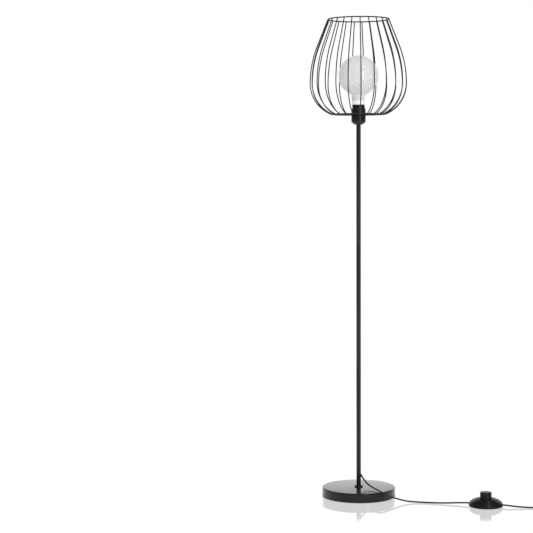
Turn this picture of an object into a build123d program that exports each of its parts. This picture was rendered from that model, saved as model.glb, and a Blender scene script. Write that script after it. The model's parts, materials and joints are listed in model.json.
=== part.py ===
from build123d import *
import math
import os

# A floor lamp with a wire cage shade, millimetres, +Z up. The origin is on the lamp's axis at the
# floor, and -Y faces the viewer. Each function below makes one piece or one group of like pieces.

# ---- Clearances
thread_gap = 0.05  # radial, between a thread's two sides
press_gap = 0.02  # radial, round a pressed-in piece
seat_gap = 0.05  # between flat faces that bear on each other
turn_gap = 0.3  # between faces of pieces that move past each other
running_gap = 0.08  # radial, where a moving piece is guided
weld_gap = 0.1  # left for the weld between wires

# ---- Base
base_diameter = 230.0
base_height = 30.2  # floor to the top of the cover
cover_wall = 1.2
cover_edge = 3.0  # rounding of the cover's rim
cover_lift = 1.0  # floor to the cover's lower edge
pad_thickness = 2.0
pad_inset = 4.0
weight_gap = 0.3
recess_diameter = 36.0  # pocket under the weight for the nut
recess_depth = 9.0
washer_diameter = 28.0
washer_thickness = 1.5
nut_across_flats = 14.0
nut_thickness = 4.0

# ---- Pole and its threads
thread_diameter = 9.9
lead_bore = 7.4  # clear way for the lead through every nipple
pole_diameter = 14.2
pole_wall = 1.2
section_length = 379.9
section_count = 3
insert_length = 18.0
nipple_length = 30.0
stud_grip = 16.0  # thread of the end studs inside the pole
stud_end = 1.0
collar_diameter = 26.0
collar_height = 4.0
collar_floor = 2.0  # the pole stands in the collar on this much metal
collar_round = 1.2

# ---- Cord and the bush where it leaves the pole
cord_diameter = 5.0
exit_height = 68.0
exit_azimuth = -30.0
exit_dip = 48.0  # degrees below level
exit_bend = 10.0  # the lead's bend inside the pole
bush_wall = 0.8
bush_inside = 4.0
bush_outside = 5.0
exit_run = 18.0  # the cord's first run ends this far from the pole's surface

# ---- Lampholder
cap_diameter = 44.8
cap_length = 31.0
cap_wall = 3.4
cap_chamfer = 8.0
cap_neck_diameter = 26.0
cap_thread_depth = 11.0
ledge_depth = 12.0  # cap's top edge down to the ledge that carries the core
ledge_width = 2.0
skirt_diameter = 39.5
skirt_wall = 1.6
skirt_grip = 8.0  # how far the skirt reaches down inside the cap
core_diameter = 33.0
core_flange = 3.5
core_base = 15.0  # thickness of the core under the screw shell
shell_wall = 0.5
shell_length = 21.0
contact_length = 16.0
contact_width = 5.0
contact_rise = 2.8  # the tongue's top above the shell's foot
contact_thickness = 0.6
terminal_diameter = 5.0
terminal_length = 6.0
terminal_spread = 20.0
grip_diameter = 3.0
grip_length = 5.5
grip_height = 5.5  # cap's bottom to the cord grip screw

# ---- Retaining ring
retainer_flange_diameter = 47.6
retainer_flange = 1.4
retainer_height = 17.0
retainer_top_diameter = 43.4

# ---- Shade
rib_wire = 3.3
ring_wire = 3.8
# where the ribs stand on the rings, in degrees round from the front
rib_azimuths = [
    2.8, 18.5, 34.0, 48.9, 63.9, 78.7, 96.5, 113.5, 128.2, 143.3, 158.2, 173.3,
    187.7, 203.7, 220.0, 237.2, 254.5, 270.0, 287.7, 302.4, 317.7, 332.8, 347.8,
]
ribs_per_node = 3
top_ring_radius = 95.0
bottom_ring_radius = 84.0
belly_radius = 150.5
belly_height = 96.5  # above the bottom ring
cage_height = 294.4  # bottom ring's centre to top ring's
flank_length = 88.0  # straight run of the ribs below the top ring
spoke_count = 3
fitter_diameter = 47.6
fitter_thickness = 1.2

# ---- Bulb
globe_diameter = 125.0
globe_wall = 1.0
globe_neck_diameter = 38.4
globe_blend = 14.0
globe_rise = 91.5  # skirt's top edge to the globe's centre
bulb_collar_diameter = 38.0
bulb_collar_height = 13.7
bulb_collar_wall = 1.5
bulb_spigot = 4.0  # how far the collar reaches into the screw cap
bulb_cap_diameter = 26.3
bulb_cap_length = 21.0
bulb_cap_wall = 0.4
bulb_thread_pitch = 3.6
bulb_thread_depth = 0.8
insulator_height = 2.6
insulator_diameter = 17.0
tip_diameter = 9.0
tip_height = 0.6
board_depth = 2.0  # collar's top edge down to the board
board_thickness = 1.6
driver_width = 14.0
driver_thickness = 1.6

# ---- Foot switch, placed on the cord
switch_x = 389.0
switch_y = -139.0
switch_yaw = -15.0
switch_diameter = 104.0
switch_lip = 5.0
switch_lift = 1.0  # thickness of the feet
switch_crown = 25.5
switch_crown_diameter = 41.0
switch_steps = 6
switch_wall = 2.0
switch_cord_height = 7.6
switch_run = 30.0  # straight cord beside the switch
cord_rise = 0.05  # that keeps the cord's corner at the switch's edge from being straight
plate_thickness = 1.6
plate_inset = 2.4
foot_diameter = 12.0
foot_circle = 80.0
foot_count = 3
block_length = 44.0
block_width = 26.0
block_clear = 4.6  # from the contact block up to the button's flange when it is pressed
post_diameter = 8.0
post_circle = 76.0
screw_diameter = 3.0
screw_head_diameter = 5.6
screw_head_height = 0.9
screw_length = 8.0
button_diameter = 35.4
button_top = 43.8
button_wall = 2.0
button_flange = 2.0
button_lip = 2.0  # how far the flange reaches past the button's side
button_travel = 4.0
button_round = 1.6
spring_diameter = 13.0
spring_wire = 1.0
spring_turns = 5

# ---- Put-away coil, its tie and the plug
coil_x = 605.0
coil_y = -171.0  # the cord arrives here, heading along +X
coil_inner_radius = 20.6
coil_pitch = 6.2  # from each turn to the next, beside it or above it
coil_side_turns = 2.875  # turns that spiral in, and as many that spiral out
coil_lift = 1.3
coil_lead = 5.0  # straight run at each end
tie_angle = 135.0
tie_width = 9.0
tie_thickness = 0.8
tie_gap = 0.5
plug_length = 36.0
plug_waist = 14.4  # from the plug's tail to its full width
plug_shoulder = 10.8  # from the plug's full width to its nose
plug_width = 35.3
plug_thickness = 13.7
plug_nose_width = 26.0
plug_tail_width = 14.0
plug_round = 3.0
relief_length = 35.0
relief_tip_diameter = 6.6
relief_root_diameter = 10.0
pin_diameter = 4.0
pin_length = 19.0
pin_spacing = 18.6

# ---- How the cord's tube is drawn
arc_share = 0.45  # of the shorter run beside each corner

# ---- Heights and radii that follow
cord_radius = cord_diameter / 2
thread_radius = thread_diameter / 2
pole_radius = pole_diameter / 2
pole_bore = pole_radius - pole_wall
pole_foot = base_height + collar_floor
pole_top = pole_foot + section_count * section_length
cap_top = pole_top + cap_length
cap_bore = cap_diameter / 2 - cap_wall
skirt_bore = skirt_diameter / 2 - skirt_wall
core_seat = cap_top - ledge_depth
shell_seat = core_seat + core_base
tip_level = shell_seat + contact_rise + turn_gap
cap_end = tip_level + tip_height + insulator_height
skirt_top = cap_end + bulb_cap_length - turn_gap
shade_seat = cap_top + turn_gap
ring_level = shade_seat + fitter_thickness / 2
retainer_seat = shade_seat + fitter_thickness + turn_gap
shell_bore = bulb_cap_diameter / 2 + turn_gap
globe_level = skirt_top + globe_rise
collar_level = skirt_top + turn_gap + bulb_collar_height


def cylinder(radius, low, high):
    """A solid cylinder on the lamp's axis, between two heights."""
    return Pos(0, 0, low) * Cylinder(radius, high - low, align=(Align.CENTER, Align.CENTER, Align.MIN))


def tube(radius, bore, low, high):
    """A straight tube on the lamp's axis, between two heights."""
    return cylinder(radius, low, high) - cylinder(bore, low - 1, high + 1)


def turned(*profile):
    """A piece turned about the lamp's axis from a closed outline of (radius, height) points."""
    return revolve(Plane.XZ * make_face(Polyline(*profile, close=True)), Axis.Z)


def round_bar(path, radius):
    """A round bar along a path."""
    return sweep(Plane(origin=path @ 0, z_dir=path % 0) * Circle(radius), path)


def polar(radius, degrees, height=0.0):
    """A point given by its radius, its azimuth and its height."""
    angle = math.radians(degrees)
    return Vector(radius * math.cos(angle), radius * math.sin(angle), height)


# ---- Base


def base_cover():
    """The pressed steel cover: a shallow cup over the weight, with a hole for the nipple."""
    radius = base_diameter / 2
    outer = cylinder(radius, cover_lift, base_height)
    outer = fillet(outer.edges().group_by(Axis.Z)[-1], cover_edge)
    inner = cylinder(radius - cover_wall, cover_lift - 1, base_height - cover_wall)
    inner = fillet(inner.edges().group_by(Axis.Z)[-1], cover_edge - cover_wall)
    return outer - inner - cylinder(thread_radius + thread_gap, 0, base_height + 1)


def base_weight():
    """The weight that fills the cover, with a pocket for the nut underneath."""
    radius = base_diameter / 2 - cover_wall - weight_gap
    top = base_height - cover_wall - seat_gap
    weight = cylinder(radius, pad_thickness, top)
    weight = chamfer(weight.edges().group_by(Axis.Z)[-1], cover_edge)
    pocket = cylinder(recess_diameter / 2, 0, pad_thickness + recess_depth)
    return weight - pocket - cylinder(thread_radius + thread_gap, 0, base_height)


def base_pad():
    """The non-slip pad that the lamp stands on."""
    return tube(base_diameter / 2 - pad_inset, recess_diameter / 2, 0, pad_thickness)


def base_washer():
    """The large washer under the weight."""
    top = pad_thickness + recess_depth - seat_gap
    return tube(washer_diameter / 2, thread_radius + thread_gap, top - washer_thickness, top)


def base_nut():
    """The hexagon nut that draws the pole down on the base."""
    top = pad_thickness + recess_depth - washer_thickness - 2 * seat_gap
    across_corners = nut_across_flats / math.cos(math.pi / 6)
    hexagon = RegularPolygon(across_corners / 2, 6)
    nut = extrude(Pos(0, 0, top - nut_thickness) * hexagon, nut_thickness)
    return nut - cylinder(thread_radius + thread_gap, 0, top + 1)


def base_nipple():
    """The hollow threaded stud from the nut up into the pole's foot."""
    low = pad_thickness + recess_depth - washer_thickness - nut_thickness - stud_end
    return tube(thread_radius, lead_bore / 2, low, pole_foot + stud_grip)


# ---- Pole


def pole_collar():
    """The turned collar that the pole stands in."""
    collar = cylinder(collar_diameter / 2, base_height + seat_gap, base_height + collar_height)
    collar = fillet(collar.edges().group_by(Axis.Z)[-1], collar_round)
    socket = cylinder(pole_radius + thread_gap, pole_foot - seat_gap, base_height + collar_height + 1)
    return collar - socket - cylinder(thread_radius + thread_gap, 0, pole_foot)


def exit_place():
    """The spot where the cord crosses the pole's surface, and the way that it points."""
    spot = polar(pole_radius, exit_azimuth, exit_height)
    level = math.cos(math.radians(exit_dip))
    way = polar(level, exit_azimuth, -math.sin(math.radians(exit_dip)))
    return spot, way


def along_exit(radius, start, end):
    """A cylinder on the cord's line out of the pole, from one distance along it to another."""
    spot, way = exit_place()
    height = end - start
    bar = Cylinder(radius, height, align=(Align.CENTER, Align.CENTER, Align.MIN))
    return Plane(origin=spot + way * start, z_dir=way).location * bar


def pole_section(index):
    """One of the pole's three equal tubes. The lowest has the cord's hole."""
    low = pole_foot + index * section_length
    section = tube(pole_radius, pole_bore, low + seat_gap, low + section_length)
    if index == 0:
        section -= along_exit(cord_radius + bush_wall + press_gap, -pole_radius, pole_diameter)
    return section


def pole_inserts():
    """The threaded inserts pressed into both ends of each section."""
    inserts = []
    for index in range(section_count):
        foot = pole_foot + index * section_length
        for low in (foot + seat_gap, foot + section_length - insert_length):
            insert = tube(pole_bore - press_gap, thread_radius + thread_gap, low, low + insert_length)
            inserts.append(insert)
    return inserts


def pole_nipples():
    """The hollow threaded studs that join the sections."""
    joints = [pole_foot + index * section_length for index in range(1, section_count)]
    half = nipple_length / 2
    return [tube(thread_radius, lead_bore / 2, joint - half, joint + half) for joint in joints]


def top_nipple():
    """The hollow threaded stud that carries the lampholder."""
    return tube(thread_radius, lead_bore / 2, pole_top - stud_grip, pole_top + cap_thread_depth - stud_end)


def cord_bush():
    """The angled bush that guards the cord at the pole's hole."""
    bush = along_exit(cord_radius + bush_wall, -bush_inside, bush_outside)
    return bush - along_exit(cord_radius + thread_gap, -bush_inside - 1, bush_outside + 1)


def inner_lead():
    """The lead inside the pole, from the lampholder's core down and out through the bush."""
    spot, way = exit_place()
    turn = math.radians(90 - exit_dip)
    reach = exit_bend * math.tan(turn / 2)
    corner = spot - way * (pole_radius / math.cos(math.radians(exit_dip)))
    top = Vector(0, 0, core_seat - turn_gap)
    bend_start = corner + Vector(0, 0, reach)
    bend_end = corner + way * reach
    path = Wire([
        Edge.make_line(top, bend_start),
        Edge.make_tangent_arc(bend_start, Vector(0, 0, -1), bend_end),
        Edge.make_line(bend_end, spot + way * bush_outside),
    ])
    return round_bar(path, cord_radius)


# ---- Lampholder


def lampholder_cap():
    """The lower shell: a thread in its neck, a chamfered foot and a ledge for the core."""
    radius = cap_diameter / 2
    neck = cap_neck_diameter / 2
    bottom = pole_top + seat_gap
    ledge = core_seat - seat_gap
    floor = pole_top + cap_thread_depth
    ledge_bore = cap_bore - ledge_width
    shell = turned(
        (thread_radius + thread_gap, bottom),
        (neck, bottom),
        (radius, bottom + cap_chamfer),
        (radius, cap_top),
        (cap_bore, cap_top),
        (cap_bore, ledge),
        (ledge_bore, ledge),
        (ledge_bore, floor),
        (thread_radius + thread_gap, floor),
    )
    return shell - grip_hole()


def cross_bar(radius, length):
    """A cylinder from beside the nipple out through the cap's neck."""
    bar = Cylinder(radius, length, align=(Align.CENTER, Align.CENTER, Align.MIN))
    return Pos(0, thread_radius + thread_gap + seat_gap, pole_top + grip_height) * Rot(-90, 0, 0) * bar


def grip_hole():
    """The cross hole for the cord grip screw."""
    return cross_bar(grip_diameter / 2 + thread_gap, cap_diameter)


def cord_grip():
    """The small grub screw in the cap's neck that locks the thread."""
    return cross_bar(grip_diameter / 2, grip_length)


def lampholder_skirt():
    """The upper shell, whose lower end reaches down inside the cap."""
    grip_radius = cap_bore - thread_gap
    low = cap_top - skirt_grip
    return turned(
        (skirt_bore - skirt_wall / 2, low),
        (grip_radius, low),
        (grip_radius, cap_top + seat_gap),
        (skirt_diameter / 2, cap_top + seat_gap),
        (skirt_diameter / 2, skirt_top),
        (skirt_bore, skirt_top),
        (skirt_bore, cap_top),
        (skirt_bore - skirt_wall / 2, cap_top - skirt_wall),
    )


def lampholder_core():
    """The insulating core: a flange on the cap's ledge and a cup round the screw shell."""
    cup = shell_bore + shell_wall + seat_gap
    core = turned(
        (0, core_seat),
        (cap_bore - seat_gap, core_seat),
        (cap_bore - seat_gap, core_seat + core_flange),
        (core_diameter / 2, core_seat + core_flange),
        (core_diameter / 2, shell_seat + shell_length),
        (cup, shell_seat + shell_length),
        (cup, shell_seat),
        (0, shell_seat),
    )
    for x, y in terminal_places():
        core -= Pos(x, y, core_seat) * Cylinder(terminal_diameter / 2 + thread_gap, 2 * terminal_length)
    return core


def terminal_places():
    """Where the two terminal screws stand."""
    return [(-terminal_spread / 2, 0), (terminal_spread / 2, 0)]


def lampholder_shell():
    """The brass screw shell, with a rim at its foot."""
    wall = shell_bore + shell_wall
    return tube(wall, shell_bore, shell_seat + seat_gap, shell_seat + shell_length - seat_gap)


def lampholder_contact():
    """The sprung centre contact: a strip raised towards the bulb's tip."""
    strip = Pos(0, 0, shell_seat + seat_gap) * Box(
        contact_length, contact_width, contact_thickness, align=(Align.CENTER, Align.CENTER, Align.MIN)
    )
    tongue = cylinder(contact_width / 2, shell_seat + seat_gap, shell_seat + contact_rise)
    return strip + tongue


def lampholder_terminals():
    """The two terminal screws in the core's underside."""
    return [
        Pos(x, y, core_seat + terminal_length / 2 - 1) * Cylinder(terminal_diameter / 2, terminal_length)
        for x, y in terminal_places()
    ]


def shade_retaining_ring():
    """The flared ring that clamps the shade's washer from above."""
    bore = skirt_diameter / 2 + running_gap
    return turned(
        (bore, retainer_seat),
        (retainer_flange_diameter / 2, retainer_seat),
        (retainer_flange_diameter / 2, retainer_seat + retainer_flange),
        (retainer_flange_diameter / 2 - retainer_flange, retainer_seat + 2 * retainer_flange),
        (retainer_top_diameter / 2, retainer_seat + retainer_height),
        (bore, retainer_seat + retainer_height),
    )


# ---- Shade


def wire_ring(radius, height):
    """A closed ring of the shade's thicker wire."""
    return Pos(0, 0, height) * Torus(radius, ring_wire / 2)


def rib_path():
    """A rib's centreline in the XZ plane: lower bend, belly, upper bend and straight flank."""
    overhang = belly_radius - bottom_ring_radius
    low_radius = (belly_height**2 + overhang**2) / (2 * overhang)
    low_centre = belly_radius - low_radius
    top = Vector(top_ring_radius, 0, ring_level + cage_height)
    belly = Vector(belly_radius, 0, ring_level + belly_height)
    stand_off = ring_wire / 2 + weld_gap
    low_end = math.atan2(-belly_height, bottom_ring_radius - low_centre)
    low_end += 2 * math.asin(stand_off / (2 * low_radius))
    taper = belly.X - top.X
    up = top.Z - belly.Z
    high_radius = (taper**2 + up**2 - flank_length**2) / (2 * taper)
    high_centre = belly_radius - high_radius
    tangent = math.atan2(up, top.X - high_centre) - math.atan2(flank_length, high_radius)

    def on_arc(centre, radius, angle):
        return Vector(centre + radius * math.cos(angle), 0, belly.Z + radius * math.sin(angle))

    flank = on_arc(high_centre, high_radius, tangent)
    low_arc = [on_arc(low_centre, low_radius, low_end * share) for share in (1, 0.5)] + [belly]
    high_arc = [belly] + [on_arc(high_centre, high_radius, tangent * share) for share in (0.5, 1)]
    return Wire([
        Edge.make_three_point_arc(*low_arc),
        Edge.make_three_point_arc(*high_arc),
        Edge.make_line(flank, top - (top - flank).normalized() * stand_off),
    ])


def shade_ribs(first):
    """A few ribs that stand side by side. They are set by hand, so their spacing isn't quite even."""
    rib = round_bar(rib_path(), rib_wire / 2)
    return [Rot(0, 0, place - 90) * rib for place in rib_azimuths[first:first + ribs_per_node]]


def shade_fitter():
    """The washer that sits on the lampholder and carries the spokes."""
    bore = skirt_diameter / 2 + running_gap
    return tube(fitter_diameter / 2, bore, shade_seat, shade_seat + fitter_thickness)


def shade_spokes():
    """The straight wires from the washer out to the bottom ring."""
    start = fitter_diameter / 2 + weld_gap
    end = bottom_ring_radius - ring_wire / 2 - weld_gap
    bar = Cylinder(rib_wire / 2, end - start, align=(Align.CENTER, Align.CENTER, Align.MIN))
    spoke = Pos(start, 0, ring_level) * Rot(0, 90, 0) * bar
    return [Rot(0, 0, 90 + 360 * index / spoke_count) * spoke for index in range(spoke_count)]


# ---- Bulb


def globe_outline(globe_radius, neck_radius, blend, low):
    """Half of a globe's outline: neck, blend and sphere, closed along the axis."""
    rise = math.sqrt((globe_radius + blend) ** 2 - (neck_radius + blend) ** 2)
    blend_level = globe_level - rise
    share = globe_radius / (globe_radius + blend)
    touch = Vector((neck_radius + blend) * share, 0, globe_level - rise * share)
    inward = Vector(-(neck_radius + blend), 0, rise).normalized()
    middle = Vector(neck_radius + blend, 0, blend_level) + (Vector(-1, 0, 0) + inward).normalized() * blend
    neck = Vector(neck_radius, 0, blend_level)
    side = Vector(globe_radius, 0, globe_level)
    top = Vector(0, 0, globe_level + globe_radius)
    start = math.atan2(touch.Z - globe_level, touch.X)
    early = Vector(globe_radius * math.cos(start / 2), 0, globe_level + globe_radius * math.sin(start / 2))
    late = Vector(globe_radius * math.sqrt(0.5), 0, globe_level + globe_radius * math.sqrt(0.5))
    return [
        Edge.make_line(Vector(0, 0, low), Vector(neck_radius, 0, low)),
        Edge.make_line(Vector(neck_radius, 0, low), neck),
        Edge.make_three_point_arc(neck, middle, touch),
        Edge.make_three_point_arc(touch, early, side),
        Edge.make_three_point_arc(side, late, top),
        Edge.make_line(top, Vector(0, 0, low)),
    ]


def bulb_globe():
    """The thin opal globe with its neck, open at the bottom."""
    low = collar_level + seat_gap
    globe, neck = globe_diameter / 2, globe_neck_diameter / 2
    outer = globe_outline(globe, neck, globe_blend, low)
    inner = globe_outline(globe - globe_wall, neck - globe_wall, globe_blend + globe_wall, low - 1)
    return revolve(make_face(outer), Axis.Z) - revolve(make_face(inner), Axis.Z)


def bulb_collar():
    """The white collar between the screw cap and the globe: a cup open upwards."""
    low = skirt_top + turn_gap
    wall = bulb_collar_diameter / 2 - bulb_collar_wall
    plug = bulb_cap_diameter / 2 - bulb_cap_wall - bulb_thread_depth - seat_gap
    return turned(
        (plug - bulb_collar_wall, low - bulb_spigot),
        (plug, low - bulb_spigot),
        (plug, low + seat_gap),
        (bulb_collar_diameter / 2, low + seat_gap),
        (bulb_collar_diameter / 2, collar_level),
        (wall, collar_level),
        (wall, low + seat_gap + bulb_collar_wall),
        (plug - bulb_collar_wall, low + seat_gap + bulb_collar_wall),
    )


def bulb_cap():
    """The screw cap, whose wall follows the crests and roots of its thread."""
    crest = bulb_cap_diameter / 2
    root = crest - bulb_thread_depth
    high = skirt_top + turn_gap
    low = cap_end
    turns = int((bulb_cap_length - bulb_thread_pitch) // bulb_thread_pitch)
    outline = [(root, high)]
    for turn in range(turns):
        level = high - bulb_thread_pitch * (turn + 1)
        outline.append((root, level + bulb_thread_pitch / 2))
        outline.append((crest, level))
    outline.append((root, low + bulb_thread_pitch / 4))
    outline.append((insulator_diameter / 2, low))
    wall = root - bulb_cap_wall
    foot = low + bulb_cap_wall
    bore = [(insulator_diameter / 2, foot), (wall, foot + bulb_thread_pitch / 4), (wall, high)]
    return turned(*outline, *bore)


def bulb_insulator():
    """The insulating disc in the end of the screw cap."""
    wide = insulator_diameter / 2 - seat_gap
    return turned(
        (0, cap_end - insulator_height),
        (tip_diameter / 2 + 1, cap_end - insulator_height),
        (wide, cap_end - seat_gap),
        (wide, cap_end + bulb_cap_wall),
        (0, cap_end + bulb_cap_wall),
    )


def bulb_tip():
    """The centre contact on the bulb's end."""
    return cylinder(tip_diameter / 2, tip_level, cap_end - insulator_height - seat_gap)


def bulb_board():
    """The board that carries the light source, pressed into the collar's mouth."""
    top = collar_level - board_depth
    return cylinder(bulb_collar_diameter / 2 - bulb_collar_wall - press_gap, top - board_thickness, top)


def bulb_driver():
    """The driver's small circuit board, upright from the screw cap to the board."""
    low = cap_end + bulb_cap_wall + seat_gap
    high = collar_level - board_depth - board_thickness - seat_gap
    return Pos(0, 0, low) * Box(
        driver_width, driver_thickness, high - low, align=(Align.CENTER, Align.CENTER, Align.MIN)
    )


# ---- Foot switch, drawn about its own axis with the cord along X

switch_place = Pos(switch_x, switch_y, 0) * Rot(0, 0, switch_yaw)


def switch_outline(inset):
    """The stepped dome's outline from the lip to the crown, moved inwards by an inset."""
    lip_radius = switch_diameter / 2 - inset
    crown_radius = switch_crown_diameter / 2 - inset
    lip = switch_lip - inset / 2
    crown = switch_crown - inset
    points = [(lip_radius, lip)]
    for step in range(1, switch_steps + 1):
        turn = math.radians(90 * step / switch_steps)
        radius = crown_radius + (lip_radius - crown_radius) * math.cos(turn) ** 2
        height = lip + (crown - lip) * math.sin(turn) ** 1.2
        points.append((points[-1][0] - 0.3, height))
        points.append((radius, height))
    return points


def cord_way(radius):
    """A bar on the cord's line through the switch."""
    return Pos(0, 0, switch_cord_height) * Rot(0, 90, 0) * Cylinder(radius, switch_diameter + 20)


def switch_cover():
    """The stepped dome, with holes for the button and the cord and posts for the screws."""
    opening = button_diameter / 2 + running_gap
    radius = switch_diameter / 2
    bore = radius - switch_wall
    top = switch_crown - switch_wall
    outer = turned((0, switch_lift), (radius, switch_lift), *switch_outline(0), (0, switch_crown))
    cover = outer - turned((0, 0), (bore, 0), *switch_outline(switch_wall), (0, top))
    for place in post_places():
        cover += switch_post(place) & outer
    for place in post_places():
        cover -= Pos(*place) * cylinder(screw_diameter / 2 + thread_gap, 0, switch_lift + screw_length + 1)
    return cover - cylinder(opening, 0, switch_crown + 1) - cord_way(cord_radius + turn_gap)


def post_places():
    """Where the screw posts stand, clear of the cord's line."""
    return [polar(post_circle / 2, 90 + 360 * index / foot_count) for index in range(foot_count)]


def switch_post(place):
    """A bar where a screw post hangs from the dome down to the plate."""
    return Pos(*place) * cylinder(post_diameter / 2, switch_lift + plate_thickness + seat_gap, switch_crown)


def switch_base():
    """The plate that closes the dome underneath."""
    top = switch_lift + plate_thickness
    plate = cylinder(switch_diameter / 2 - plate_inset, switch_lift, top)
    sunk = cylinder(screw_head_diameter / 2 + turn_gap, 0, switch_lift + screw_head_height)
    for place in post_places():
        plate -= Pos(*place) * (sunk + cylinder(screw_diameter / 2 + turn_gap, 0, top + 1))
    return plate


def switch_screws():
    """The screws that hold the plate to the posts."""
    screws = []
    for place in post_places():
        shank = cylinder(screw_diameter / 2, switch_lift, switch_lift + screw_length)
        head = cylinder(screw_head_diameter / 2, switch_lift, switch_lift + screw_head_height - seat_gap)
        screws.append(Pos(*place) * (shank + head))
    return screws


def switch_feet():
    """The rubber feet under the plate, between the screws."""
    places = [polar(foot_circle / 2, 30 + 360 * index / foot_count) for index in range(foot_count)]
    return [Pos(*place) * cylinder(foot_diameter / 2, 0, switch_lift) for place in places]


def block_top():
    """The height of the contact block's top."""
    return button_base() - button_travel - block_clear


def switch_block():
    """The contact block that the cord's two ends go into."""
    low = switch_lift + plate_thickness + seat_gap
    return Pos(0, 0, low) * Box(
        block_length, block_width, block_top() - low, align=(Align.CENTER, Align.CENTER, Align.MIN)
    )


def button_base():
    """The height of the button's flange."""
    return switch_crown - switch_wall - turn_gap - button_flange


def switch_button():
    """The push button: a hollow cap with a flange that keeps it under the dome."""
    radius = button_diameter / 2
    low = button_base()
    body = cylinder(radius, low, button_top)
    body = fillet(body.edges().group_by(Axis.Z)[-1], button_round)
    flange = cylinder(radius + button_lip, low, low + button_flange)
    hollow = cylinder(radius - button_wall, low - 1, button_top - button_wall)
    return body + flange - hollow


def switch_spring():
    """The return spring between the contact block and the button's underside."""
    radius = (spring_diameter - spring_wire) / 2
    low = block_top() + spring_wire / 2 + turn_gap
    high = button_top - button_wall - spring_wire / 2 - turn_gap
    slope = (high - low) / (spring_turns * 2 * math.pi * radius)

    def place(turn):
        share = turn / spring_turns
        return polar(radius, 360 * turn, low + (high - low) * share)

    def way(turn):
        return polar(1, 360 * turn + 90, slope).normalized()

    return round_bar(Wire(wound_edges(place, way, spring_turns)), spring_wire / 2)


# ---- Wound and free cord


def biarc(start, start_way, end, end_way):
    """Two tangent arcs that join two points with the given directions."""
    step = end - start
    both = start_way + end_way
    apart = 2 * (1 - start_way.dot(end_way))
    along = step.dot(both)
    reach = (math.sqrt(along**2 + apart * step.dot(step)) - along) / apart
    middle = (start + end + (start_way - end_way) * reach) * 0.5
    first = Edge.make_tangent_arc(start, start_way, middle)
    second = Edge.make_tangent_arc(middle, first % 1, end)
    return [first, second]


def wound_edges(place, way, turns):
    """Biarcs of a quarter turn each along a winding, whose place and way are given by the turn."""
    stations = [turns * index / round(4 * turns) for index in range(round(4 * turns) + 1)]
    edges = []
    for start, end in zip(stations, stations[1:]):
        edges += biarc(place(start), way(start), place(end), way(end))
    return edges


coil_turns = 2 * coil_side_turns + 0.5
coil_outer_radius = coil_inner_radius + coil_pitch * coil_side_turns
coil_low = coil_lift + cord_radius
coil_high = coil_low + coil_pitch
coil_centre = Vector(coil_x, coil_y + coil_outer_radius, 0)


def coil_radius(turn):
    """The winding's radius: in at a steady rate, half a turn at its least, and out again."""
    beside = max(0.0, abs(turn - coil_turns / 2) - 0.25)
    return coil_inner_radius + coil_pitch * beside


def climb(turn):
    """How far up to the second layer the winding is, from 0 to 1, over the middle half turn."""
    share = min(1.0, max(0.0, (turn - coil_side_turns) / 0.5))
    return (1 - math.cos(math.pi * share)) / 2


def coil_place(turn):
    """The winding's centreline at a turn counted from the outer end of the lower layer."""
    return coil_centre + polar(coil_radius(turn), 360 * turn - 90, coil_low + coil_pitch * climb(turn))


def coil_way(turn):
    """The winding's direction there: round the coil, and up while it climbs."""
    small = 0.01
    rise = (climb(turn + small) - climb(turn - small)) * coil_pitch
    slope = rise / (2 * small * 2 * math.pi * coil_radius(turn))
    return polar(1, 360 * turn, slope).normalized()


def coil_path():
    """The coil's centreline, with a straight run at each end."""
    start, end = coil_place(0), coil_place(coil_turns)
    arcs = wound_edges(coil_place, coil_way, coil_turns)
    lead_in = Edge.make_line(start - coil_way(0) * coil_lead, start)
    lead_out = Edge.make_line(end, end + coil_way(coil_turns) * coil_lead)
    return [lead_in] + arcs + [lead_out]


def least_gap(edges):
    """The least gap between passes of a wound cord, from points on its arcs."""
    points, run, travelled = [], [], 0.0
    for edge in edges:
        for share in (0, 0.25, 0.5, 0.75):
            points.append(edge @ share)
            run.append(travelled + edge.length * share)
        travelled += edge.length
    apart = 2 * math.pi * coil_inner_radius * 0.6
    gaps = [
        (a - b).length - cord_diameter
        for i, a in enumerate(points)
        for j, b in enumerate(points[i + 1:], i + 1)
        if run[j] - run[i] > apart
    ]
    return min(gaps)


def coil_reach(angle):
    """The least and greatest radius of the passes at an azimuth round the coil."""
    first = (angle + 90) / 360
    turns = [first + whole for whole in range(int(coil_turns - first) + 1)]
    radii = [coil_radius(turn) for turn in turns]
    return min(radii) - cord_radius, max(radii) + cord_radius


def coil_tie():
    """The strap that holds the coil's turns together."""
    inner, outer = coil_reach(tie_angle)
    inner = math.sqrt(inner**2 - (tie_width / 2) ** 2) - tie_gap
    outer += tie_gap
    low = coil_lift - tie_gap
    high = coil_high + cord_radius + tie_gap
    middle = Pos((inner + outer) / 2, 0, (low + high) / 2)
    hole = Box(outer - inner, tie_width + 2, high - low)
    band = Box(outer - inner + 2 * tie_thickness, tie_width, high - low + 2 * tie_thickness)
    band = fillet(band.edges().filter_by(Axis.Y), tie_thickness)
    return Pos(*coil_centre) * Rot(0, 0, tie_angle) * middle * (band - hole)


def free_route(points):
    """Straight runs joined by tangent arcs, each as large as its two runs allow."""
    radii = []
    for before, corner, after in zip(points, points[1:], points[2:]):
        run_in, run_out = corner - before, after - corner
        half_turn = math.radians(run_in.get_angle(run_out)) / 2
        radii.append(arc_share * min(run_in.length, run_out.length) / math.tan(half_turn))
    return FilletPolyline(*points, radius=radii), radii


def free_cord(name, points):
    """A cord's tube along its route. Prints its radii and its volume against its length."""
    path, radii = free_route(points)
    cord = round_bar(path, cord_radius)
    plain = math.pi * cord_radius**2 * path.length
    print(name, "length", round(path.length, 1), "radii", [round(radius) for radius in radii])
    print(name, "volume", round(cord.volume, 1), "section times length", round(plain, 1))
    return cord


def switch_points(offset):
    """A point on the cord's line through the switch, at an offset from the switch's centre."""
    way = polar(1, switch_yaw)
    return Vector(switch_x, switch_y, switch_cord_height) + way * offset


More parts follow.
